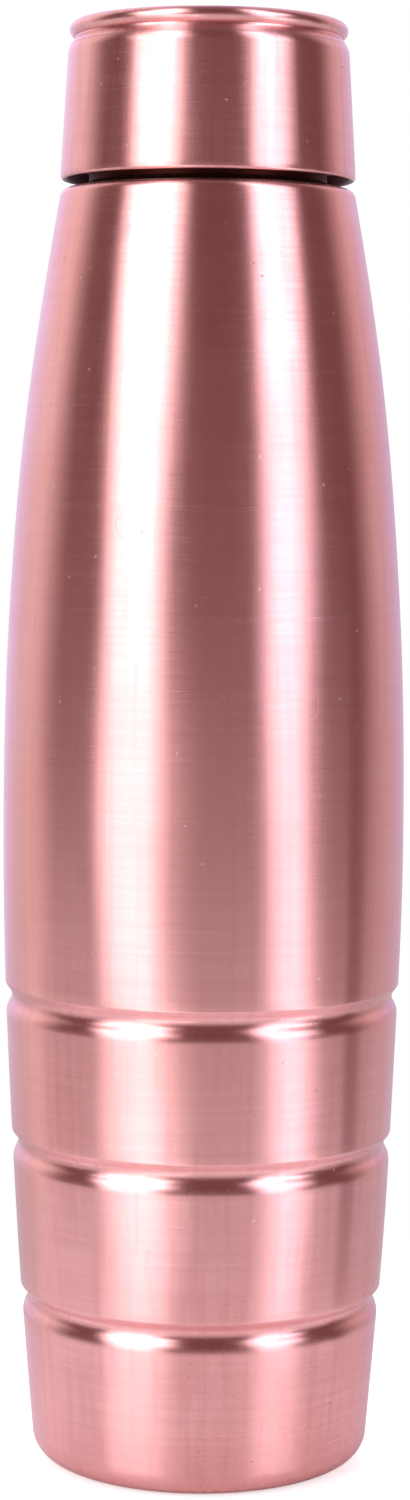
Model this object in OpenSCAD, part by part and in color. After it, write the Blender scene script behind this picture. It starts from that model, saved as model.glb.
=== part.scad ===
// Copper water bottle with a screw cap.
// A raised sheet-copper body with three rolled grooves stands on a recessed base.
// The cap is a tapered sleeve with a seamed lid, and it screws over a brazed-in neck.
// Millimetres, +Z up, origin at the middle of the foot, cap screwed down.

/* [Body] */
// Greatest diameter of the barrel
body_d = 75; // [73:0.5:77]
// Height of the widest place on the barrel
belly_z = 119; // [112:1:126]
// Diameter of the barrel, carried up to the level of the flat shoulder
shoulder_d = 54.1; // [53.5:0.1:55]
// Height of the flat shoulder round the neck
shoulder_z = 238.3; // [230:0.1:246]
// Radius that rolls the barrel over into the shoulder
shoulder_round = 1.8; // [1.2:0.1:2.4]
// Diameter of the barrel, carried down to the level of the foot
foot_d = 62.7; // [61:0.1:65]
// Radius of the corner above the foot
foot_round = 5; // [4:0.1:5.4]
// How long the barrel stays full above its widest place, 2 being a parabola
upper_fullness = 2.2; // [1.9:0.05:2.5]
// How long the barrel stays full below its widest place
lower_fullness = 1.76; // [1.6:0.02:2]
// Thickness of the body's copper sheet
sheet = 0.6; // [0.5:0.05:0.7]

/* [Grooves] */
// Heights of the three rolled grooves, at their deepest line
groove_z = [88.3, 60.4, 30.9]; // [28:0.1:92]
// Depth of each groove, to where its two flanks would meet
groove_depth = 1.55; // [1.3:0.05:1.65]
// Height of the steep flank above a groove's deepest line
groove_over = 2.2; // [2:0.1:2.6]
// Height of the easy flank below a groove's deepest line
groove_under = 2.5; // [2.4:0.1:3.2]

/* [Base] */
// Height of the base disc's upper face above the foot
base_z = 7.8; // [7.6:0.1:9]
// Inner diameter of the foot's turned-in edge
foot_hole_d = 49; // [47:0.2:51]

/* [Neck] */
// Inside diameter of the mouth
mouth_d = 42.2; // [41.6:0.1:42.4]
// Outside diameter of the neck, under its thread
neck_d = 44; // [43.8:0.1:44.2]
// Height of the mouth's rim above the foot
rim_z = 261; // [260:0.1:261.4]
// Rise of the thread in one full turn
thread_pitch = 4; // [3.6:0.1:4.4]
// Number of turns that each thread ridge makes
thread_turns = 1.5; // [1:0.1:1.6]
// Height of the thread ridges above their tubes
thread_h = 0.8; // [0.7:0.05:0.9]

/* [Cap] */
// Height of the whole bottle, to the top of the cap's bead
total_z = 268.6; // [268.4:0.1:269.2]
// Height of the cap's lower edge above the foot
cap_z = 239.9; // [239.4:0.1:240.4]
// Diameter of the hemmed lower edge
cap_hem_d = 54.5; // [54.3:0.1:55]
// Diameter of the bead round the lid
cap_bead_d = 51.3; // [51:0.1:51.6]
// Thickness of the cap's copper sheet
cap_sheet = 0.6; // [0.5:0.05:0.65]
// Thickness of the silicone seal over the rim
seal_t = 1.8; // [1.4:0.1:2]

/* [Hidden] */
$fn = 96;

copper = [0.80, 0.47, 0.40];
braze_gold = [0.83, 0.66, 0.40];
solder_grey = [0.70, 0.70, 0.68];
silicone = [0.90, 0.89, 0.86];

body_r = body_d / 2;
barrel_steps = 26;          // straight steps that draw the upper barrel
band_steps = 4;             // straight steps that draw each band between grooves
seam_gap = 0.05;            // soldering gap between sheet pieces of one body
base_play = 0.2;            // room round the base disc's rim, filled by the brazing
crease_round = 0.7;         // radius of the crease over a groove
valley_round = 2.2;         // radius along a groove's deepest line
easy_round = 3.8;           // radius of the rounded edge under a groove

neck_r = neck_d / 2;
mouth_r = mouth_d / 2;
neck_foot_z = shoulder_z - 2.2;    // the collar reaches this far down inside the shoulder
collar_flange = 2;                 // width of the collar's flange under the shoulder
seal_overhang = 1.6;               // how far the seal reaches in over the mouth

ridge_base = 1.5;                  // width of a thread ridge where it meets its tube
ridge_crest = 0.7;                 // width of its crest
thread_z = 248.8;                  // height of both ridges' lower ends, on their centre lines
thread_play = 0.5;                 // radial room between a crest and the opposite root
socket_r = neck_r + thread_h + thread_play;
ring_wall = 0.7;

hem_r = cap_hem_d / 2;
hem_h = 2.5;                       // height of the folded hem
hem_proud = 0.2;                   // how far the hem stands out beyond the sleeve
sleeve_top_r = 25.9;               // sleeve radius where its upper edge starts to round in
sleeve_top_z = total_z - 5;
bead_r = 1.45;
bead_c = [cap_bead_d / 2 - bead_r, total_z - bead_r];
under_bead_r = bead_c[0] + 0.6;    // sleeve radius in the tight groove under the bead
lid_z = total_z - 1;               // upper face of the lid, sunk inside the bead

// Radius of the barrel at height z: a power curve above the belly and another below it.
function barrel_r(z) = z > belly_z
    ? body_r - (body_r - shoulder_d / 2)
        * pow((z - belly_z) / (shoulder_z - belly_z), upper_fullness)
    : body_r - (body_r - foot_d / 2)
        * pow((belly_z - z) / belly_z, lower_fullness);

function unit(v) = v / norm(v);

// Points of a tangent arc of radius rad that rounds the corner b of the path a, b, c.
function corner(a, b, c, rad, n = 6) =
    let (
        u = unit(a - b), v = unit(c - b),
        half = acos(u * v) / 2,
        centre = b + unit(u + v) * rad / sin(half),
        p = b + u * rad / tan(half) - centre,
        q = b + v * rad / tan(half) - centre,
        from = atan2(p[1], p[0]),
        swing = atan2(p[0] * q[1] - p[1] * q[0], p * q)
    )
    [for (i = [0 : n])
        centre + rad * [cos(from + swing * i / n), sin(from + swing * i / n)]];

function spot(v) = [v[0], v[1]];

// A path of [radius, height, rounding] turned into points, each rounding a tangent arc.
// The two ends of an open path stay sharp.
function rounded(path, closed = false) =
    let (n = len(path))
    [for (i = [0 : n - 1])
        let (sharp = path[i][2] == 0 || (!closed && (i == 0 || i == n - 1)))
        for (p = sharp ? [spot(path[i])]
                       : corner(spot(path[(i + n - 1) % n]), spot(path[i]),
                                spot(path[(i + 1) % n]), path[i][2])) p];

// The same line moved sideways by t, to the right of its direction of travel.
function beside(line, t) =
    let (last = len(line) - 1)
    [for (i = [0 : last])
        let (d = unit(line[min(i + 1, last)] - line[max(i - 1, 0)]))
        line[i] + t * [d[1], -d[0]]];

function backwards(line) = [for (i = [len(line) - 1 : -1 : 0]) line[i]];

// A sheet of thickness t lying on the right of the line.
function sheet_of(line, t) = concat(line, backwards(beside(line, t)));

// Corners of one groove, from its crease down to its rounded lower edge.
function groove(z) = [
    [barrel_r(z + groove_over), z + groove_over, crease_round],
    [barrel_r(z) - groove_depth, z, valley_round],
    [barrel_r(z - groove_under), z - groove_under, easy_round]
];

// Points along the barrel between two heights, leaving out both ends.
function barrel(top, bottom, steps) =
    [for (i = [1 : steps - 1])
        let (z = top + (bottom - top) * i / steps) [barrel_r(z), z, 0]];

module turned(outline) {
    rotate_extrude() polygon(outline);
}

// A helical thread ridge. Its section is a trapezium on a tube of radius r, and it points
// outwards for side = 1 and inwards for side = -1. Both ends run out into the tube.
module thread_ridge(r, side, start) {
    per_turn = 36;
    sunk = 0.2;             // depth of the ridge's root inside its tube
    run_out = 3;            // steps over which an end fades
    steps = round(thread_turns * per_turn);
    function fade(i) = min(1, (i + 0.5) / run_out, (steps - i + 0.5) / run_out);
    section = [[-sunk, -ridge_base / 2], [-sunk, ridge_base / 2],
               [thread_h, ridge_crest / 2], [thread_h, -ridge_crest / 2]];
    points = [for (i = [0 : steps]) for (s = section)
        let (
            a = start + 360 * i / per_turn,
            out = r + side * (s[0] > 0 ? s[0] * fade(i) : s[0]),
            z = thread_z + thread_pitch * i / per_turn + s[1]
        ) [out * cos(a), out * sin(a), z]];
    sides = [for (i = [0 : steps - 1]) for (j = [0 : 3])
        let (p = 4 * i + j, q = 4 * i + (j + 1) % 4)
        for (f = [[p, q, q + 4], [p, q + 4, p + 4]]) f];
    ends = [[3, 2, 1], [3, 1, 0],
            [4 * steps, 4 * steps + 1, 4 * steps + 2],
            [4 * steps, 4 * steps + 2, 4 * steps + 3]];
    faces = concat(sides, ends);
    polyhedron(points, side < 0 ? faces : [for (f = faces) [f[2], f[1], f[0]]]);
}

// A concave fillet of filler metal of the given leg, in the corner at (r, z).
// sr and sz point out of the corner, along the radius and along the height.
module fillet_ring(r, z, leg, sr, sz) {
    rotate_extrude() difference() {
        polygon([[r, z], [r + sr * leg, z], [r, z + sz * leg]]);
        translate([r + sr * leg, z + sz * leg]) circle(r = leg * 0.92);
    }
}

// The body, raised from one sheet: flat shoulder, barrel, three rolled grooves and
// the edge turned in under the foot.
module body_shell() {
    top = shoulder_z - 3;
    outline = rounded(concat(
        [[neck_r + seam_gap, shoulder_z, 0], [shoulder_d / 2, shoulder_z, shoulder_round]],
        [[barrel_r(top), top, 0]],
        barrel(top, groove_z[0] + groove_over, barrel_steps),
        groove(groove_z[0]),
        barrel(groove_z[0] - groove_under, groove_z[1] + groove_over, band_steps),
        groove(groove_z[1]),
        barrel(groove_z[1] - groove_under, groove_z[2] + groove_over, band_steps),
        groove(groove_z[2]),
        barrel(groove_z[2] - groove_under, 0, band_steps),
        [[foot_d / 2, 0, foot_round], [foot_hole_d / 2, 0, 0]]
    ));
    color(copper) turned(sheet_of(outline, sheet));
}

// The base, a shallow pan pushed up inside the body with its rim downwards.
module base_disc() {
    rim_z0 = foot_round + 0.15;
    rim_r = barrel_r(rim_z0) - sheet - base_play;
    color(copper) turned(rounded([
        [0, base_z - sheet, 0],
        [rim_r - sheet, base_z - sheet, 0.2],
        [rim_r - sheet, rim_z0, 0],
        [rim_r, rim_z0, 0],
        [rim_r, base_z, 0.7],
        [0, base_z, 0]
    ], closed = true));
}

// Brazing metal run round the base, in the corner inside the body.
module base_braze() {
    color(braze_gold)
        fillet_ring(barrel_r(base_z) - sheet - seam_gap, base_z + 0.02, 1.3, -1, 1);
}

// The neck: a collar with a rounded rim, a raised thread and a flange under the shoulder.
module neck_collar() {
    under = shoulder_z - sheet - seam_gap;
    rim_r = (neck_r - mouth_r) / 2;
    color(copper) union() {
        turned([
            [mouth_r, neck_foot_z], [neck_r + collar_flange, neck_foot_z],
            [neck_r + collar_flange, under], [neck_r, under],
            [neck_r, rim_z - rim_r], [mouth_r, rim_z - rim_r]
        ]);
        rotate_extrude()
            translate([mouth_r + rim_r, rim_z - rim_r]) circle(r = rim_r);
        thread_ridge(neck_r, 1, 0);
    }
}

// Brazing metal in the corner between the neck and the flat shoulder.
module neck_braze() {
    color(braze_gold) fillet_ring(neck_r + 0.02, shoulder_z + 0.02, 1.1, 1, 1);
}

// The silicone seal, a flat washer with rounded edges that lies on the rim.
module seal_ring() {
    z = rim_z + seam_gap;
    inner_r = mouth_r - seal_overhang;
    color(silicone) turned(rounded([
        [inner_r, z, 0.4], [neck_r, z, 0.4],
        [neck_r, z + seal_t, 0.4], [inner_r, z + seal_t, 0.4]
    ], closed = true));
}

// The loose liner, a shallow pan whose rim presses on the seal as the cap is screwed down.
module liner_disc() {
    top = lid_z - cap_sheet - seam_gap;
    rim = rim_z + seal_t + 2 * seam_gap;
    color(copper) turned(rounded([
        [0, top, 0],
        [neck_r - 0.1, top, 1.2],
        [neck_r - 0.1, rim, 0],
        [neck_r - 0.1 - cap_sheet, rim, 0],
        [neck_r - 0.1 - cap_sheet, top - cap_sheet, 0.6],
        [0, top - cap_sheet, 0]
    ], closed = true));
}

// The cap's tapered sleeve: folded hem below, upper edge rounded in to the lid's seam.
module cap_shell() {
    hem_top = cap_z + hem_h;
    sleeve_r = hem_r - hem_proud;
    inner_r = sleeve_r - cap_sheet;
    color(copper) turned(rounded([
        [hem_r, cap_z, 0.55],
        [hem_r, hem_top - 0.5, 0.5],
        [sleeve_r, hem_top + 0.1, 0.5],
        [sleeve_top_r, sleeve_top_z, 4],
        [under_bead_r, sleeve_top_z + 1.85, 0.3],
        [under_bead_r, bead_c[1] + 0.5, 0],
        [under_bead_r - 0.5, bead_c[1] + 0.5, 0],
        [under_bead_r - 0.5, sleeve_top_z + 1.5, 0.5],
        [sleeve_top_r - cap_sheet, sleeve_top_z - 0.3, 3.4],
        [inner_r, hem_top + 0.3, 0.2],
        [hem_r - 2 * cap_sheet, hem_top, 0.2],
        [hem_r - 2 * cap_sheet, cap_z, 0.55]
    ], closed = true));
}

// The lid: a flat disc sunk inside a bead, which is rolled round the sleeve's upper edge.
module cap_top() {
    color(copper) rotate_extrude() {
        translate([0, lid_z - cap_sheet]) square([bead_c[0] - bead_r + cap_sheet, cap_sheet]);
        difference() {
            translate(bead_c) circle(r = bead_r);
            translate(bead_c) circle(r = bead_r - cap_sheet);
            // the way in for the sleeve and the threaded ring
            translate([bead_c[0] - bead_r - 1, total_z - 4])
                square([bead_r + 1 + 0.65, 4 - 1 - cap_sheet]);
        }
    }
}

// The threaded ring inside the cap, with a flange below that meets the sleeve.
module cap_thread_ring() {
    bottom = cap_z + hem_h + 0.6;
    flange_r = hem_r - hem_proud - cap_sheet - 0.2;
    outer_r = socket_r + ring_wall;
    color(copper) union() {
        turned([
            [socket_r, bottom], [flange_r, bottom], [flange_r, bottom + ring_wall],
            [outer_r, bottom + ring_wall],
            [outer_r, lid_z - cap_sheet - seam_gap], [socket_r, lid_z - cap_sheet - seam_gap]
        ]);
        thread_ridge(socket_r, -1, 180);
    }
}

// Soft solder that seals the ring's flange to the cap's hem.
module cap_solder() {
    color(solder_grey)
        fillet_ring(hem_r - 2 * cap_sheet - 0.02, cap_z + hem_h + 0.58, 0.9, -1, -1);
}

body_shell();
base_disc();
base_braze();
neck_collar();
neck_braze();
seal_ring();
liner_disc();
cap_shell();
cap_top();
cap_thread_ring();
cap_solder();
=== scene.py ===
import math

import bpy
import numpy as np
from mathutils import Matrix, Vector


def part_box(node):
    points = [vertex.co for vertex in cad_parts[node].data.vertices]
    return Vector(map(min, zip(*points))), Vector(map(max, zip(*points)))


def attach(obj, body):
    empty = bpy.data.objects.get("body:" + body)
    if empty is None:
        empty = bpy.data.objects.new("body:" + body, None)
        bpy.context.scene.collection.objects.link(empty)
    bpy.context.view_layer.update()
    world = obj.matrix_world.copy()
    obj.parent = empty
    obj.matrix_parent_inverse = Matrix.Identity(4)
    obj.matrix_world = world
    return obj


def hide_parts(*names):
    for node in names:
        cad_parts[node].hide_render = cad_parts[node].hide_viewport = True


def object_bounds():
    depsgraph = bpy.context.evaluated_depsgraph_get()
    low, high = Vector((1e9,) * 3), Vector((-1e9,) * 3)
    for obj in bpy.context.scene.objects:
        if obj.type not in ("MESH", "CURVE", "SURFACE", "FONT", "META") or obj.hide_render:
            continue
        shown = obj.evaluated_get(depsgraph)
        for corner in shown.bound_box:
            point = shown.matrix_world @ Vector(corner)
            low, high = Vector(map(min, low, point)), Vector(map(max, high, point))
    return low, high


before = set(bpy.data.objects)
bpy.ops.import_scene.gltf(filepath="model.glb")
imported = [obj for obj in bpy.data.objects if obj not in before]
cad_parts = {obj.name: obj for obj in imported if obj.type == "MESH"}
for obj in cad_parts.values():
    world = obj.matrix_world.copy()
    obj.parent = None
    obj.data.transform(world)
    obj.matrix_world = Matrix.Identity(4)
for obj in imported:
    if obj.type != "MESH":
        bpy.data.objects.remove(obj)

cad_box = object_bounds()


# --- Camera -------------------------------------------------------------------------------
# A portrait lens a little over half a metre in front of the bottle and above its middle. It
# looks slightly down, and it is rolled a hair, as a camera held in the hand is.

MM = 0.001
scene = bpy.context.scene
camera_distance = 613.9 * MM
camera_height = 187.4 * MM
camera_tilt = math.radians(4.95)
camera_pan = math.radians(0.02)
camera_roll = math.radians(0.42)

focal_length = 78.72
film_width = 36.0

lens = bpy.data.cameras.new("camera")
lens.sensor_fit = "AUTO"
lens.sensor_width = film_width
lens.lens = focal_length
lens.clip_start = 10 * MM
camera = bpy.data.objects.new("camera", lens)
scene.collection.objects.link(camera)
camera.rotation_mode = "XYZ"
aim = (Matrix.Rotation(-camera_pan, 4, "Z")
       @ Matrix.Rotation(math.pi / 2 - camera_tilt, 4, "X")
       @ Matrix.Rotation(camera_roll, 4, "Z"))
camera.matrix_world = Matrix.Translation((0, -camera_distance, camera_height)) @ aim
scene.camera = camera


# --- Studio -------------------------------------------------------------------------------
# A photographer's room: a tall soft light on each side of the camera, dark warm felt round
# them, pale walls at the sides and back, a dim ceiling and a pale cloth below. The bottle
# stands on a small round pale table, which has a painted glow.

class Level:
    """A value over a surface, held as an output socket. Each operator adds its Math node."""

    def __init__(self, graph, socket):
        self.graph = graph
        self.socket = socket

    def math(self, operation, *values):
        return self.graph.node("ShaderNodeMath", {"operation": operation},
                               dict(enumerate(values)))

    def __add__(self, other):
        return self.math("ADD", self, other)

    __radd__ = __add__

    def __sub__(self, other):
        return self.math("SUBTRACT", self, other)

    def __rsub__(self, other):
        return self.math("SUBTRACT", other, self)

    def __mul__(self, other):
        return self.math("MULTIPLY", self, other)

    __rmul__ = __mul__

    def __pow__(self, other):
        return self.math("POWER", self, other)

    def __neg__(self):
        return self.math("MULTIPLY", self, -1.0)

    def __abs__(self):
        return self.math("ABSOLUTE", self)

    def over(self, low, high):
        """0 below low, 1 above high, and a smooth step between them."""
        return self.graph.node(
            "ShaderNodeMapRange", {"interpolation_type": "SMOOTHSTEP"},
            {"Value": self, "From Min": low, "From Max": high})

    def within(self, start, full, fade, end):
        """1 between full and fade, falling smoothly to 0 at start and at end."""
        return self.over(start, full) * (1.0 - self.over(fade, end))


class Graph:
    """A node tree as it is wired. Any node but a Math node comes from node()."""

    def __init__(self, tree):
        self.tree = tree
        tree.nodes.clear()

    def node(self, kind, settings=(), sockets=(), out=0):
        """Adds a node: its settings first, then the values or links of its sockets."""
        made = self.tree.nodes.new(kind)
        for name, value in dict(settings).items():
            setattr(made, name, value)
        for name, value in dict(sockets).items():
            if isinstance(value, Level):
                self.tree.links.new(value.socket, made.inputs[name])
            else:
                made.inputs[name].default_value = value
        return Level(self, made.outputs[out]) if made.outputs else None

    def split(self, vector):
        """The x, y and z of a vector."""
        parts = self.node("ShaderNodeSeparateXYZ", {}, {"Vector": vector})
        outputs = parts.socket.node.outputs
        return [Level(self, outputs[n]) for n in range(3)]

    def times(self, colour, level):
        """A colour made brighter or darker."""
        return self.node("ShaderNodeVectorMath", {"operation": "SCALE"},
                         {"Vector": colour, "Scale": level})

    def join(self, x, y, z):
        return self.node("ShaderNodeCombineXYZ", {}, {"X": x, "Y": y, "Z": z})

    def blend(self, share, first, second):
        """first where share is 0, second where it is 1. Both are colours."""
        first, second = (c if isinstance(c, Level) else (*c, 1.0) for c in (first, second))
        return self.node("ShaderNodeMix", {"data_type": "RGBA"},
                         {0: share, 6: first, 7: second}, out=2)


studio = bpy.data.worlds.new("studio")
studio.use_nodes = True
scene.world = studio
room = Graph(studio.node_tree)
look_x, look_y, look_z = room.split(room.node("ShaderNodeTexCoord", {}, {}, out="Generated"))
# degrees round from the camera, growing to its right, and degrees above the horizon
turn = look_x.math("DEGREES", look_x.math("ARCTAN2", look_x, -look_y))
rise = look_z.math("DEGREES", look_z.math("ARCSINE", look_z))

felt = (0.165, 0.075, 0.078)
wall_left = (0.81, 0.73, 0.69)
wall_right = (0.61, 0.49, 0.47)
back_left = (0.82, 0.75, 0.98)
back_right = (0.65, 0.56, 0.74)
ceiling = (0.28, 0.22, 0.235)
cloth_front = (0.80, 0.735, 0.735)
cloth_back = (0.60, 0.55, 0.58)
light_left = (2.15, 2.05, 2.03)
light_right = (1.9, 1.82, 1.95)

left = turn.math("LESS_THAN", turn, 0.0)
side = abs(turn)
below = -rise

# felt all round, and past it the two side walls, which meet the bluer back wall
to_back = side.over(122, 152)
wall = room.blend(left, room.blend(to_back, wall_right, back_right),
                  room.blend(to_back, wall_left, back_left))
to_wall = left * side.over(90, 121) + (1.0 - left) * side.over(97, 129)
surround = room.blend(to_wall, felt, room.times(wall, 1.0 + rise.over(0, 14) * 0.3))

# the cloth under everything catches the left light and stops short of a stand to the right
stand = turn.within(92, 97, 106, 111) * below.within(-4, 0, 11, 25)
fold = left * side.within(66, 78, 112, 130) * below.within(8, 13, 15, 20)
cloth = room.blend(side.over(70 + left * 38, 130 + left * 25), cloth_front, cloth_back)
cloth = room.times(cloth, 1.0 + fold * 0.35)
surround = room.blend(below.over(6, 14) * (1.0 - stand), surround, cloth)

# both lights lean to the right below the height of the table and flare out at the top
lean = (turn - below.over(5, 20) * (11.0 - left * 1.5)
        - below.over(19, 30) * (6.0 + left * 4.0))
flare = rise.within(14, 30, 31, 45) * 12.0
wide = rise.within(9.5, 12.7, 28, 42) * 12.0 + below.over(15, 21) * 3.0
bow = rise.within(10, 12, 14, 17) * 4.0
upright = (1.0 - rise.over(55, 70)) * rise.over(-44, -34)
brighter = (1.0 + rise.over(4, 18) * 0.6 - below.over(5, 20) * 0.12
            + below.over(20, 30) * 0.3)
shine_left = (lean + flare).over(-68.5, -51.5) * (1.0 - (lean - flare * 0.85).over(-36, -18))
shine_right = (lean - bow).over(28, 44) * (1.0 - (lean - wide).over(50, 68))
surround = room.blend(shine_left * upright, surround, room.times(light_left, brighter))
surround = room.blend(shine_right * upright, surround, room.times(light_right, brighter))
surround = room.blend(rise.over(58, 75), surround, ceiling)
seen = room.node("ShaderNodeLightPath", {}, {}, out="Is Camera Ray")
glow = room.node("ShaderNodeBackground", {}, {"Color": room.blend(seen, surround, (1, 1, 1))})
room.node("ShaderNodeOutputWorld", {}, {"Surface": glow})
scene.view_settings.view_transform = "Standard"


def mesh_piece(name, points, quads, triangles=()):
    """A smooth-shaded object from rows of points and of four- and three-cornered faces."""
    quads = np.asarray(quads, np.int32).reshape(-1, 4)
    triangles = np.asarray(triangles, np.int32).reshape(-1, 3)
    mesh = bpy.data.meshes.new(name)
    mesh.vertices.add(len(points))
    mesh.vertices.foreach_set("co", np.asarray(points, np.float32).ravel())
    corners = np.concatenate([quads.ravel(), triangles.ravel()])
    starts = np.concatenate([np.arange(len(quads)) * 4,
                             quads.size + np.arange(len(triangles)) * 3])
    mesh.loops.add(len(corners))
    mesh.loops.foreach_set("vertex_index", corners)
    mesh.polygons.add(len(starts))
    mesh.polygons.foreach_set("loop_start", starts.astype(np.int32))
    mesh.polygons.foreach_set("use_smooth", np.ones(len(starts), bool))
    mesh.update(calc_edges=True)
    made = bpy.data.objects.new(name, mesh)
    scene.collection.objects.link(made)
    return made


def new_material(name):
    """A material and the graph that its nodes go in."""
    material = bpy.data.materials.new(name)
    material.use_nodes = True
    return material, Graph(material.node_tree)


def surface(graph, sockets):
    """The material's one shader, and the output that it feeds."""
    shader = graph.node("ShaderNodeBsdfPrincipled", {}, sockets)
    graph.node("ShaderNodeOutputMaterial", {}, {"Surface": shader})


table_radius = 120 * MM
table_height = cad_box[0][2]
spokes = np.linspace(0, 2 * np.pi, 96, endpoint=False)
rim = np.stack([np.cos(spokes), np.sin(spokes), 0 * spokes], 1) * table_radius
spoke = np.arange(len(spokes))
table = mesh_piece("table", np.concatenate([rim, [[0, 0, 0]]]) + [0, 0, table_height], [],
                   np.stack([spoke, np.roll(spoke, -1), 0 * spoke + len(spokes)], 1))
glowing_table_paint, graph = new_material("glowing table paint")
place = graph.node("ShaderNodeTexCoord", {}, {}, out="Object")
mottle = graph.node("ShaderNodeTexNoise", {}, {"Vector": place, "Scale": 9.0, "Detail": 3.0})
x, y, z = graph.split(place)
# painted glow: the table glows back into the copper in front of the bottle, and its glow is
# painted out close round its foot as a painted contact shadow
lit = ((x * x + y * y) ** 0.5).over(28 * MM, 62 * MM)
lit = lit * (1.0 - y.over(-25 * MM, 30 * MM) * 0.9)
glow = graph.blend(lit, (0, 0, 0), (0.19, 0.22, 0.21))
seen = graph.node("ShaderNodeLightPath", {}, {}, out="Is Camera Ray")
surface(graph, {"Base Color": graph.blend(mottle, (0.93, 0.93, 0.93), (0.90, 0.90, 0.90)),
                "Roughness": 0.2, "Emission Strength": 1.0,
                "Emission Color": graph.blend(seen, glow, (0.6, 0.6, 0.6))})
table.data.materials.append(glowing_table_paint)


# --- Body ---------------------------------------------------------------------------------
# One disc of copper sheet, drawn and spun into a barrel with a flat shoulder. Three grooves
# are rolled in round its lower half, and its edge is turned in under it as the foot. The
# outside is brushed on the lathe, then wiped bright; the inside is left as it was spun.

_, body_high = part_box("body_shell")
neck_low, neck_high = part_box("neck_collar")
body_radius = body_high.x
shoulder_height = body_high.z
belly_height = 119.0 * MM
shoulder_radius = 27.05 * MM
foot_radius = 31.35 * MM
upper_fullness = 2.2
lower_fullness = 1.76
shoulder_rounding = 1.8 * MM
foot_rounding = 5.0 * MM
foot_hole_radius = 24.5 * MM
neck_hole_radius = 22.05 * MM
sheet = 0.6 * MM

groove_heights = np.array([88.3, 60.4, 30.9]) * MM
groove_depth = 1.55 * MM
groove_over = 2.2 * MM
groove_under = 2.5 * MM
crease_rounding = 0.7 * MM
valley_rounding = 2.2 * MM
easy_rounding = 3.8 * MM


def barrel_radius(z):
    """The barrel's radius at height z: one power curve above the belly, another below it."""
    up = np.clip((z - belly_height) / (shoulder_height - belly_height), 0, None)
    down = np.clip((belly_height - z) / belly_height, 0, None)
    return (body_radius - (body_radius - shoulder_radius) * up ** upper_fullness
            - (body_radius - foot_radius) * down ** lower_fullness)


def rounded_corner(before, here, after, rounding, step):
    """The tangent arc of that radius which rounds a corner, as points about step apart."""
    u = (before - here) / np.linalg.norm(before - here)
    v = (after - here) / np.linalg.norm(after - here)
    half = math.acos(np.clip(u @ v, -1, 1)) / 2
    centre = here + (u + v) / np.linalg.norm(u + v) * rounding / math.sin(half)
    p = here + u * rounding / math.tan(half) - centre
    q = here + v * rounding / math.tan(half) - centre
    start = math.atan2(p[1], p[0])
    swing = math.atan2(p[0] * q[1] - p[1] * q[0], p @ q)
    count = max(4, math.ceil(abs(swing) * rounding / step))
    angles = start + swing * np.arange(count + 1) / count
    return centre + rounding * np.stack([np.cos(angles), np.sin(angles)], 1)


def outline(path, step, closed=True, corner_step=0.15 * MM):
    """A path of (radius, height, rounding) as points: each rounding is a tangent arc, and the
    straight runs between them are divided so that no two points are over step apart."""
    spots = np.array([p[:2] for p in path], float)
    last = len(path) - 1
    pieces = []
    for n, (_, _, rounding) in enumerate(path):
        end = not closed and n in (0, last)
        if rounding == 0 or end:
            pieces.append(spots[n:n + 1])
        else:
            pieces.append(rounded_corner(spots[n - 1], spots[n], spots[(n + 1) % len(path)],
                                         rounding, corner_step))
    line = np.concatenate(pieces)
    following = np.roll(line, -1, 0) if closed else line[1:]
    runs = [line[:0]]
    for a, b in zip(line, following):
        count = max(1, math.ceil(np.linalg.norm(b - a) / step))
        runs.append(a + (b - a) * np.arange(count)[:, None] / count)
    return np.concatenate(runs + ([] if closed else [line[-1:]]))


def beside(line, distance):
    """The same line moved by distance to the right of its direction of travel."""
    along = np.gradient(line, axis=0)
    along /= np.linalg.norm(along, axis=1, keepdims=True)
    return line + distance * np.stack([along[:, 1], -along[:, 0]], 1)


def turned(name, line, around, shape=None):
    """A solid of revolution. The line of (radius, height) is carried round the Z axis in
    `around` steps. It is a closed ring, or it starts and ends on the axis, where a fan of
    triangles closes each pole. shape(angle, height) gives a radial offset."""
    area = np.sum(line[:, 0] * np.roll(line[:, 1], -1) - np.roll(line[:, 0], -1) * line[:, 1])
    line = line if area > 0 else line[::-1]
    on_axis = line[:, 0] < 1e-9
    ring = line[~on_axis]
    if on_axis.any():
        first = (np.flatnonzero(on_axis).max() + 1) % len(line)
        ring = np.roll(line, -first, 0)[:len(ring)]
    angle = np.arange(around) * 2 * np.pi / around
    radius = ring[:, :1] + (0 if shape is None else shape(angle[None], ring[:, 1:]))
    points = np.stack([radius * np.cos(angle), radius * np.sin(angle),
                       np.broadcast_to(ring[:, 1:], (len(ring), around))], 2).reshape(-1, 3)
    rows = len(ring) - on_axis.any()
    i, j = np.meshgrid(np.arange(rows), np.arange(around), indexing="ij")
    i_next = (i + 1) % len(ring)
    j_next = (j + 1) % around
    quads = np.stack([i * around + j, i * around + j_next,
                      i_next * around + j_next, i_next * around + j], 2)
    triangles = np.zeros((0, 3), int)
    if on_axis.any():
        start_pole, end_pole = len(points), len(points) + 1
        points = np.concatenate([points, [[0, 0, ring[0, 1]], [0, 0, ring[-1, 1]]]])
        k = np.arange(around)
        k_next = (k + 1) % around
        top = (len(ring) - 1) * around
        triangles = np.concatenate([
            np.stack([np.full(around, start_pole), k_next, k], 1),
            np.stack([np.full(around, end_pole), top + k, top + k_next], 1)])
    return mesh_piece(name, points, quads, triangles)


def hand_finish(seed, depth, turns, wave):
    """The slight unevenness of a wiped surface: a sum of seeded waves that run round the
    piece and up it. turns is the most waves round it, and wave the shortest wave up it."""
    draw = np.random.default_rng(seed)
    count = 14
    round_waves = draw.integers(0, turns + 1, count)
    up_waves = draw.uniform(-2 * np.pi / wave, 2 * np.pi / wave, count)
    phases = draw.uniform(0, 2 * np.pi, count)
    sizes = draw.uniform(0.4, 1.0, count) * depth / math.sqrt(count)

    def shape(angle, height):
        return sum(size * np.sin(m * angle + k * height + phase)
                   for m, k, phase, size in zip(round_waves, up_waves, phases, sizes))
    return shape


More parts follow.
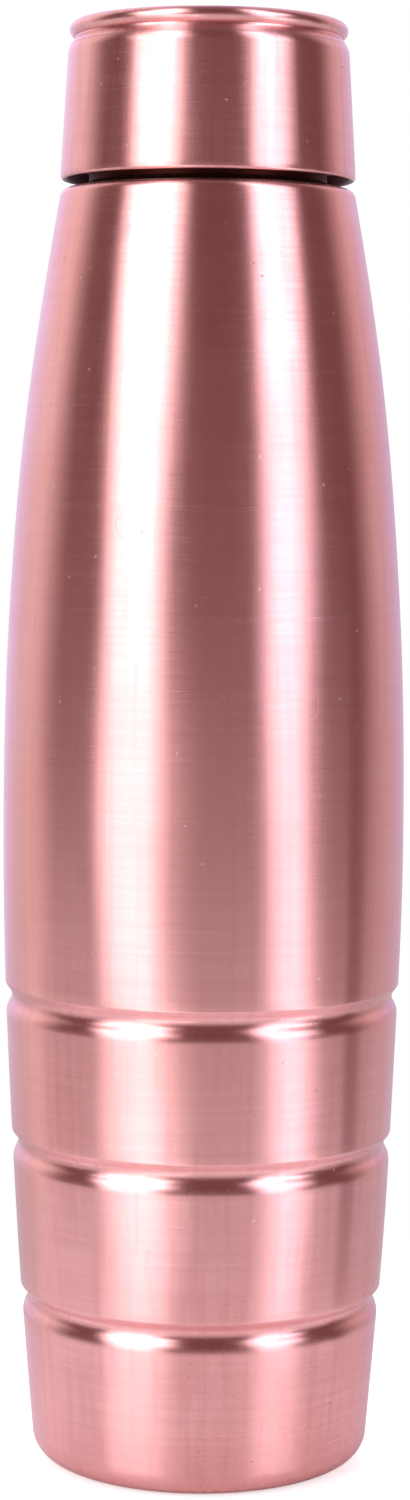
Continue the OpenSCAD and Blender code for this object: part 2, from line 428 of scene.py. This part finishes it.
def barrel_run(top, bottom, step=2.0 * MM):
    """Points down the barrel between two heights, leaving out both ends."""
    count = math.ceil((top - bottom) / step)
    heights = top + (bottom - top) * np.arange(1, count) / count
    return [(barrel_radius(z), z, 0) for z in heights]


def groove(z):
    """A groove's crease, its deepest line and the easy edge under it."""
    over, under = z + groove_over, z - groove_under
    return [(barrel_radius(over), over, crease_rounding),
            (barrel_radius(z) - groove_depth, z, valley_rounding),
            (barrel_radius(under), under, easy_rounding)]


barrel_top = shoulder_height - 3.0 * MM
body_path = [(neck_hole_radius, shoulder_height, 0),
             (shoulder_radius, shoulder_height, shoulder_rounding),
             (barrel_radius(barrel_top), barrel_top, 0)]
run_top = barrel_top
for z in groove_heights:
    body_path += barrel_run(run_top, z + groove_over) + groove(z)
    run_top = z - groove_under
body_path += barrel_run(run_top, foot_rounding * 1.5)
body_path += [(foot_radius, 0.0, foot_rounding), (foot_hole_radius, 0.0, 0)]
outer_skin = outline(body_path, 2.1 * MM, closed=False, corner_step=0.3 * MM)
inner_skin = beside(outer_skin, sheet)[::-2]
body_finish = hand_finish(seed=4, depth=0.09 * MM, turns=6, wave=50 * MM)


def body_shape(angle, height):
    """The unevenness, fading out to nothing at the foot and at the shoulder."""
    fade = (np.clip(height / (12 * MM), 0, 1)
            * np.clip((shoulder_height - height) / (12 * MM), 0, 1))
    return fade * body_finish(angle, height)


body = turned("body", np.concatenate([outer_skin, inner_skin]), 288, body_shape)


def brushed_copper(name, brushed=1.0, wear=1.0, painted_shade=None, warm=(0.91, 0.485, 0.495)):
    """Bare copper brushed round the axis. Fine lines run round the piece: noise that is
    stretched round it and squeezed along it. Over them lie soft blotches of handling,
    a few hairline scratches and small pits. The last argument, a function of (graph, x, y,
    z, radius), gives from 0 to 1 where the colour is painted almost black as painted shade."""
    material, graph = new_material(name)
    place = graph.node("ShaderNodeTexCoord", {}, {}, out="Object")
    x, y, z = graph.split(place)
    radius = (x * x + y * y) ** 0.5
    along = z - radius

    def lines(round_scale, along_scale, detail=2.0):
        spot = graph.join(x * round_scale, y * round_scale, along * along_scale)
        return graph.node("ShaderNodeTexNoise", {},
                          {"Vector": spot, "Scale": 1.0, "Detail": detail})

    def cloud(scale, detail=3.0):
        return graph.node("ShaderNodeTexNoise", {},
                          {"Vector": place, "Scale": scale, "Detail": detail})

    fine = lines(30, 3400)
    medium = lines(16, 1400)
    broad = lines(8, 330)
    blotch = cloud(26, 4.0)
    patches = cloud(70, 5.0)

    # faint streaks up the piece, where it was wiped along its length
    wiped = graph.node("ShaderNodeTexNoise", {}, {
        "Vector": graph.join(x * 620, y * 620, z * 15), "Scale": 1.0, "Detail": 2.0})

    # hairline scratches: the thin middle lines of a noise stretched on a slant
    slant = graph.join(x * 110 + z * 60, y * 110 - z * 45, z * 75)
    thread = graph.node("ShaderNodeTexNoise", {}, {"Vector": slant, "Scale": 1.0, "Detail": 0.0})
    scratch = (1.0 - abs(thread - 0.5).over(0.0, 0.005)) * cloud(38, 1.0).over(0.63, 0.68)

    # pits: a few of the cells of a fine grain, each a dot at its middle
    cells = {"Vector": place, "Scale": 620.0}
    dot = graph.node("ShaderNodeTexVoronoi", {}, cells, out="Distance")
    chosen, kind, _ = graph.split(graph.node("ShaderNodeTexVoronoi", {}, cells, out="Color"))
    pit = (1.0 - dot.over(0.08, 0.24)) * (chosen + (blotch - 0.5) * 0.12).over(0.965, 0.975)

    handled = tuple(c * k for c, k in zip(warm, (0.97, 0.92, 0.89)))
    rubbed = (0.95, 0.56, 0.57)
    lined = (0.80, 0.38, 0.38)
    streaked = (0.80, 0.36, 0.35)
    dark_pit, bright_pit = (0.45, 0.20, 0.18), (1.0, 0.84, 0.82)
    shade_black = (0.15, 0.036, 0.03)
    colour = graph.blend(blotch.over(0.38, 0.66), warm, handled)
    colour = graph.blend(patches.over(0.45, 0.75) * 0.25 * wear, colour, rubbed)
    colour = graph.blend(medium.over(0.35, 0.65) * 0.20 * brushed, colour, lined)
    colour = graph.blend(wiped.over(0.45, 0.70) * 0.26 * wear, colour, streaked)
    speck = graph.blend(kind.over(0.45, 0.55), dark_pit, bright_pit)
    colour = graph.blend(pit * 0.35 * wear, colour, speck)
    rough = (0.25 + (fine - 0.5) * 0.07 * brushed + (medium - 0.5) * 0.06 * brushed
             + (wiped - 0.5) * 0.07 * wear + (blotch - 0.5) * 0.09 * wear
             + scratch * 0.12 * wear + pit * 0.20 * wear)
    height = (fine * 0.35 + medium * 1.0 + broad * 1.1) * brushed
    height = height + wiped * 0.9 * wear - pit * 0.8 * wear
    # painted shade: where the mask is 1, the copper's colour is painted almost black and made
    # rougher
    if painted_shade:
        shaded = painted_shade(graph, x, y, z, radius)
        colour = graph.blend(shaded, colour, shade_black)
        rough = rough + shaded * 0.25
    bump = graph.node("ShaderNodeBump", {},
                      {"Height": height, "Distance": 0.006 * MM, "Strength": 1.0})
    surface(graph, {
        "Base Color": colour, "Metallic": 1.0, "Roughness": rough,
        "Anisotropic": 0.9, "Anisotropic Rotation": 0.25, "Normal": bump})
    return material


def shoulder_gap_shade(graph, x, y, z, radius):
    """The flat shoulder under the cap, painted almost black as painted shade of the gap under
    the cap's hem, and a faint darkening along the deepest line of each groove."""
    shaded = ((1.0 - radius.over(25.8 * MM, 26.6 * MM))
            * z.over(shoulder_height - 1.2 * MM, shoulder_height - 0.4 * MM))
    for line in groove_heights:
        shaded = shaded + (1.0 - abs(z - float(line)).over(0.05 * MM, 0.5 * MM)) * 0.08
    return shaded


body_metal = brushed_copper("body copper", painted_shade=shoulder_gap_shade)
body.data.materials.append(body_metal)
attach(body, "bottle")
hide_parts("body_shell")


# --- Base ---------------------------------------------------------------------------------
# A shallow copper pan pushed up inside the body with its rim downwards, and a ring of
# brazing metal run round it inside the body.

base_low, base_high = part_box("base_disc")
base_rim = base_high.x
base = turned("base", outline([
    (0, base_high.z - sheet, 0), (base_rim - sheet, base_high.z - sheet, 0.2 * MM),
    (base_rim - sheet, base_low.z, 0), (base_rim, base_low.z, 0),
    (base_rim, base_high.z, 0.7 * MM), (0, base_high.z, 0)], 1.5 * MM), 192)
base.data.materials.append(brushed_copper("base copper", brushed=0.7))
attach(base, "bottle")
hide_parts("base_disc")


def ran_metal(name, colour, grain):
    """Brazing metal or solder as it ran and set: low ripples round it and a satin skin."""
    material, graph = new_material(name)
    place = graph.node("ShaderNodeTexCoord", {}, {}, out="Object")
    ripple = graph.node("ShaderNodeTexNoise", {}, {"Vector": place, "Scale": grain,
                                                   "Detail": 4.0})
    freckle = graph.node("ShaderNodeTexNoise", {}, {"Vector": place, "Scale": grain * 6})
    dark = tuple(c * 0.7 for c in colour)
    bump = graph.node("ShaderNodeBump", {}, {"Height": ripple, "Distance": 0.15 * MM})
    surface(graph, {"Base Color": graph.blend(freckle.over(0.4, 0.7), colour, dark),
                    "Metallic": 1.0, "Roughness": 0.32 + ripple * 0.2, "Normal": bump})
    return material


def fillet(radius, height, leg, out, up, scoop=0.92):
    """A three-sided bead of filler in a corner. Its face is scooped: an arc about the
    point opposite the corner."""
    centre = np.array([radius + out * leg, height + up * leg])
    angles = np.linspace(0, np.pi / 2, 14)[1:-1]
    arc = centre - scoop * leg * np.stack([out * np.cos(angles), up * np.sin(angles)], 1)
    return np.concatenate([[[radius, height]], [[radius, height + up * leg]],
                           arc, [[radius + out * leg, height]]])


brass_braze = ran_metal("brazing metal", (0.11, 0.065, 0.035), 500.0)
braze_low, braze_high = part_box("base_braze")
leg = braze_high.z - braze_low.z
base_braze = turned("base_braze_ring", fillet(braze_high.x, braze_low.z, leg, -1, 1), 192)
base_braze.data.materials.append(brass_braze)
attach(base_braze, "bottle")
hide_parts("base_braze")


# --- Neck ---------------------------------------------------------------------------------
# A copper collar with a rounded rim and a raised right-hand thread, put up through the
# shoulder as far as its flange, then brazed round on top.

mouth_radius = 21.1 * MM
neck_radius = 22.0 * MM
flange_radius = neck_high.x
rim_radius = (neck_radius - mouth_radius) / 2
flange_top = shoulder_height - sheet - 0.05 * MM
thread_pitch = 4.0 * MM
thread_turns = 1.5
thread_start = 248.8 * MM
thread_rise = 0.8 * MM
thread_foot = 1.5 * MM
thread_crest = 0.7 * MM


def thread_ridge(start, rise):
    """The radial offset of a helical ridge. Its centre line climbs one pitch in each turn
    from the angle `start`. Its section is a trapezium with eased corners, and both of its
    ends fade out over a twelfth of a turn."""
    def shape(angle, height):
        total = 0.0
        for lap in range(3):
            turns = (angle - start) / (2 * np.pi) + lap
            centre = thread_start + thread_pitch * turns
            flank = (thread_foot / 2 - abs(height - centre)) / (thread_foot - thread_crest) * 2
            flank = np.clip(flank, 0, 1)
            eased = flank * flank * (3 - 2 * flank)
            fade = np.clip(turns * 12, 0, 1) * np.clip((thread_turns - turns) * 12, 0, 1)
            total = np.maximum(total, eased * fade)
        return rise * total
    return shape


thread_low = thread_start - thread_foot
thread_high = thread_start + thread_pitch * thread_turns + thread_foot


def threaded(name, line, around, shape, least, most):
    """turned(), with a thread on the wall whose radius lies between least and most."""
    made = turned(name, line, around)
    points = np.empty(len(made.data.vertices) * 3)
    made.data.vertices.foreach_get("co", points)
    points = points.reshape(-1, 3)
    radius = np.hypot(points[:, 0], points[:, 1])
    angle = np.mod(np.arctan2(points[:, 1], points[:, 0]), 2 * np.pi)
    grow = np.where((radius > least) & (radius < most), shape(angle, points[:, 2]), 0.0)
    points[:, :2] *= (1 + grow / np.maximum(radius, 1e-6))[:, None]
    made.data.vertices.foreach_set("co", points.ravel())
    made.data.update()
    return made


def wall_run(radius, start, end, step):
    """Points up or down a straight wall, leaving out both ends."""
    count = math.ceil(abs(end - start) / step)
    return [(radius, start + (end - start) * n / count, 0) for n in range(1, count)]


neck = threaded("neck", outline(
    [(mouth_radius, neck_low.z, 0), (flange_radius, neck_low.z, 0.2 * MM),
     (flange_radius, flange_top, 0.2 * MM), (neck_radius, flange_top, 0),
     (neck_radius, thread_low, 0)]
    + wall_run(neck_radius, thread_low, thread_high, 0.11 * MM)
    + [(neck_radius, neck_high.z, rim_radius * 0.98),
       (mouth_radius, neck_high.z, rim_radius * 0.98)], 2.0 * MM),
    288, thread_ridge(0.0, thread_rise), neck_radius - 0.01 * MM, neck_radius + 0.01 * MM)


def neck_gap_shade(graph, x, y, z, radius):
    """The foot of the neck, in the gap under the cap, painted dark as painted shade."""
    return 1.0 - z.over(shoulder_height + 2.5 * MM, shoulder_height + 7 * MM)


neck.data.materials.append(brushed_copper("neck copper", brushed=0.8, painted_shade=neck_gap_shade))
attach(neck, "bottle")
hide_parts("neck_collar")

braze_low, braze_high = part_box("neck_braze")
leg = braze_high.z - braze_low.z
neck_braze = turned("neck_braze_ring",
                    fillet(neck_radius + 0.02 * MM, braze_low.z, leg, 1, 1), 192)
neck_braze.data.materials.append(brass_braze)
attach(neck_braze, "bottle")
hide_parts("neck_braze")


# --- Seal ---------------------------------------------------------------------------------
# A flat washer of milky silicone with rounded edges, which lies loose on the rim.

seal_low, seal_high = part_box("seal_ring")
seal_hole_radius = 19.5 * MM
seal_edge = 0.4 * MM
seal = turned("seal", outline([
    (seal_hole_radius, seal_low.z, seal_edge), (seal_high.x, seal_low.z, seal_edge),
    (seal_high.x, seal_high.z, seal_edge), (seal_hole_radius, seal_high.z, seal_edge)],
    0.6 * MM), 160)
silicone, graph = new_material("silicone")
place = graph.node("ShaderNodeTexCoord", {}, {}, out="Object")
cloudy = graph.node("ShaderNodeTexNoise", {}, {"Vector": place, "Scale": 120.0, "Detail": 3.0})
pores = graph.node("ShaderNodeTexNoise", {}, {"Vector": place, "Scale": 2600.0})
bump = graph.node("ShaderNodeBump", {}, {"Height": pores, "Distance": 0.02 * MM})
surface(graph, {"Base Color": graph.blend(cloudy, (0.80, 0.79, 0.76), (0.70, 0.68, 0.64)),
                "Roughness": 0.42 + cloudy * 0.16, "Normal": bump, "IOR": 1.41,
                "Subsurface Weight": 0.2, "Subsurface Scale": 1.0 * MM})
seal.data.materials.append(silicone)
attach(seal, "seal")
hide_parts("seal_ring")


# --- Liner --------------------------------------------------------------------------------
# A loose copper pan inside the cap. Its turned-down rim presses on the seal.

liner_low, liner_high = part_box("liner_disc")
cap_sheet = 0.6 * MM
liner_rim = liner_high.x
liner = turned("liner", outline([
    (0, liner_high.z, 0), (liner_rim, liner_high.z, 1.2 * MM),
    (liner_rim, liner_low.z, 0), (liner_rim - cap_sheet, liner_low.z, 0),
    (liner_rim - cap_sheet, liner_high.z - cap_sheet, 0.6 * MM),
    (0, liner_high.z - cap_sheet, 0)], 1.2 * MM), 192)
liner.data.materials.append(brushed_copper("liner copper", brushed=0.8))
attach(liner, "liner")
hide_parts("liner_disc")


# --- Cap sleeve ---------------------------------------------------------------------------
# A tapered sleeve of copper sheet. Its lower edge is folded in as a hem, and its upper edge
# is rounded in to a tight groove, then stands up inside the lid's bead.

sleeve_low, sleeve_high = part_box("cap_shell")
_, lid_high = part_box("cap_top")
hem_radius = sleeve_high.x
hem_foot = sleeve_low.z
hem_top = hem_foot + 2.5 * MM
sleeve_radius = hem_radius - 0.2 * MM       # where the wall comes out of the hem, inside
round_radius = 25.9 * MM
round_height = lid_high.z - 5.0 * MM
bead_radius = 1.45 * MM
bead_middle = np.array([lid_high.x - bead_radius, lid_high.z - bead_radius])
under_bead = bead_middle[0] + 0.6 * MM
sleeve = turned("cap_sleeve", outline([
    (hem_radius, hem_foot, 0.55 * MM), (hem_radius, hem_foot + 1.2 * MM, 6 * MM),
    (round_radius, round_height, 4 * MM),
    (under_bead, round_height + 1.85 * MM, 0.3 * MM), (under_bead, sleeve_high.z, 0),
    (under_bead - 0.5 * MM, sleeve_high.z, 0),
    (under_bead - 0.5 * MM, round_height + 1.5 * MM, 0.5 * MM),
    (round_radius - cap_sheet, round_height - 0.3 * MM, 3.4 * MM),
    (sleeve_radius - cap_sheet, hem_top + 0.3 * MM, 0.2 * MM),
    (hem_radius - 2 * cap_sheet, hem_top, 0.2 * MM),
    (hem_radius - 2 * cap_sheet, hem_foot, 0.55 * MM)], 0.9 * MM), 288,
    hand_finish(seed=11, depth=0.02 * MM, turns=4, wave=30 * MM))


def sleeve_inside_shade(graph, x, y, z, radius):
    """The inside of the sleeve below its seam, painted almost black as the shade inside the cap.
    """
    taper = (round_radius - sleeve_radius) / (round_height - hem_top)
    outer = sleeve_radius + (z - hem_top) * taper
    below_seam = 1.0 - z.over(round_height, round_height + MM)
    return (outer - radius).over(0.25 * MM, 0.4 * MM) * below_seam


sleeve.data.materials.append(brushed_copper("sleeve copper", wear=1.7, painted_shade=sleeve_inside_shade))
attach(sleeve, "cap")
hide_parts("cap_shell")


# --- Lid ----------------------------------------------------------------------------------
# A flat disc of copper sunk inside a bead. The bead is the disc's own edge, rolled round
# the upper edge of the sleeve, so the two are one seam.

lid_face = lid_high.z - 1.0 * MM
bead_hollow = bead_radius - cap_sheet


def bead_arc(radius, start, end, step=0.12 * MM):
    """Points on the bead's circle of that radius, between two angles in degrees."""
    count = math.ceil(abs(math.radians(end - start)) * radius / step)
    angles = np.radians(np.linspace(start, end, count + 1))
    return bead_middle + radius * np.stack([np.cos(angles), np.sin(angles)], 1)


lip_side = under_bead + 0.05 * MM - bead_middle[0]
lip_outer = -math.degrees(math.acos(lip_side / bead_radius))
lip_inner = -math.degrees(math.acos(lip_side / bead_hollow))
face_angle = 180 - math.degrees(math.asin((lid_face - bead_middle[1]) / bead_radius))
under_angle = 180 - math.degrees(math.asin((lid_face - cap_sheet - bead_middle[1])
                                           / bead_hollow))
lid_line = np.concatenate([
    outline([(0, lid_face - cap_sheet, 0),
             (*bead_arc(bead_hollow, under_angle, under_angle + 1)[0], 0)],
            1.5 * MM, closed=False)[:-1],
    bead_arc(bead_hollow, under_angle, lip_inner),
    bead_arc(bead_radius, lip_outer, face_angle),
    outline([(*bead_arc(bead_radius, face_angle, face_angle + 1)[0], 0), (0, lid_face, 0)],
            1.5 * MM, closed=False)[1:]])
lid = turned("lid", lid_line, 288)
lid.data.materials.append(brushed_copper("lid copper", wear=1.7))
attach(lid, "cap")
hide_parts("cap_top")


# --- Threaded ring ------------------------------------------------------------------------
# A copper ring inside the cap with the female thread pressed into it. Its flange meets the
# sleeve above the hem, and a ring of soft solder seals the two.

ring_low, ring_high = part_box("cap_thread_ring")
socket_radius = neck_radius + thread_rise + 0.5 * MM
ring_wall = 0.7 * MM
ring = threaded("threaded_ring", outline(
    [(socket_radius, ring_low.z, 0.2 * MM), (ring_high.x, ring_low.z, 0.2 * MM),
     (ring_high.x, ring_low.z + ring_wall, 0.2 * MM),
     (socket_radius + ring_wall, ring_low.z + ring_wall, 0.3 * MM),
     (socket_radius + ring_wall, ring_high.z, 0.1 * MM),
     (socket_radius, ring_high.z, 0.1 * MM), (socket_radius, thread_high, 0)]
    + wall_run(socket_radius, thread_high, thread_low, 0.11 * MM)
    + [(socket_radius, thread_low, 0)], 2.0 * MM),
    288, thread_ridge(np.pi, -thread_rise), socket_radius - 0.01 * MM,
    socket_radius + 0.01 * MM)
ring.data.materials.append(brushed_copper("ring copper", brushed=0.6))
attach(ring, "cap")
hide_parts("cap_thread_ring")

solder_low, solder_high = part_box("cap_solder")
leg = solder_high.z - solder_low.z
solder = turned("cap_solder_ring", fillet(solder_high.x, solder_high.z, leg, -1, -1), 192)
solder.data.materials.append(ran_metal("tin solder", (0.62, 0.62, 0.60), 600.0))
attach(solder, "cap")
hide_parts("cap_solder")
